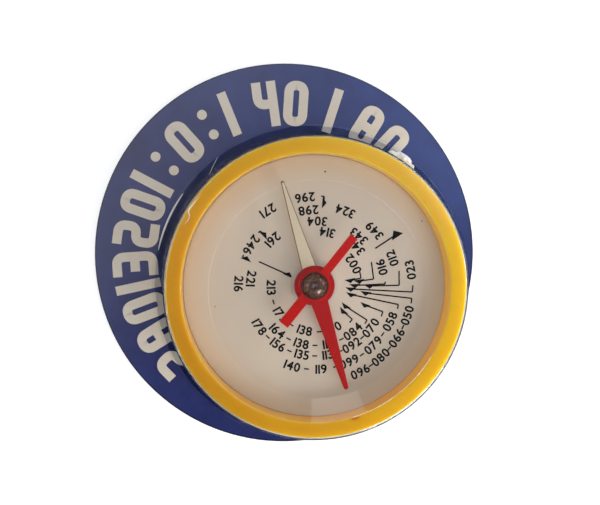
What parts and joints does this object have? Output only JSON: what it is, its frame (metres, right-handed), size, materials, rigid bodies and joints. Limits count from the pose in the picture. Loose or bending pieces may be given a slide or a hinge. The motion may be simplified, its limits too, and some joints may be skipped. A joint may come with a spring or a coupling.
{
  "type": "qibla compass",
  "caption": "Round pocket qibla compass: a needle with a cross pointer swings on a jewelled point in a yellow dish, under a clear formed cover on a round blue backing card.",
  "frame": {"origin": "centre of the backing card's back face", "axes": "+Z out of the card through the compass's cover, +Y from the compass towards the broad crescent of the card, +X to the right of that seen from above"},
  "size_m": [0.066, 0.066, 0.0125],
  "materials": {
    "printed_board": "gloss print on white board",
    "glue": "cloudy hardened adhesive",
    "clear_sheet": "clear formed sheet",
    "yellow_plastic": "gloss moulded",
    "dial_white": "printed satin",
    "bush_white": "moulded satin",
    "pin_steel": "ground",
    "needle_paint": "enamel, one arm red and one cream",
    "pointer_red": "gloss enamel",
    "cap_metal": "polished plate",
    "jewel_glass": "polished"
  },
  "bodies": {
    "case": {"backing_card": "printed_board", "flange_adhesive": "glue", "clear_cover": "clear_sheet", "case_dish": "yellow_plastic", "dial_plate": "dial_white", "pivot_bush": "bush_white", "pivot_pin": "pin_steel"},
    "needle": {"needle_blade": "needle_paint", "qibla_pointer": "pointer_red", "jewel_cap": "cap_metal", "jewel": "jewel_glass"}
  },
  "joints": [
    {"name": "needle_swing", "type": "hinge", "parent": "case", "child": "needle", "pos_m": [0, -0.0064, 0.00949], "axis": [0, 0, 1], "continuous": true}
  ]
}
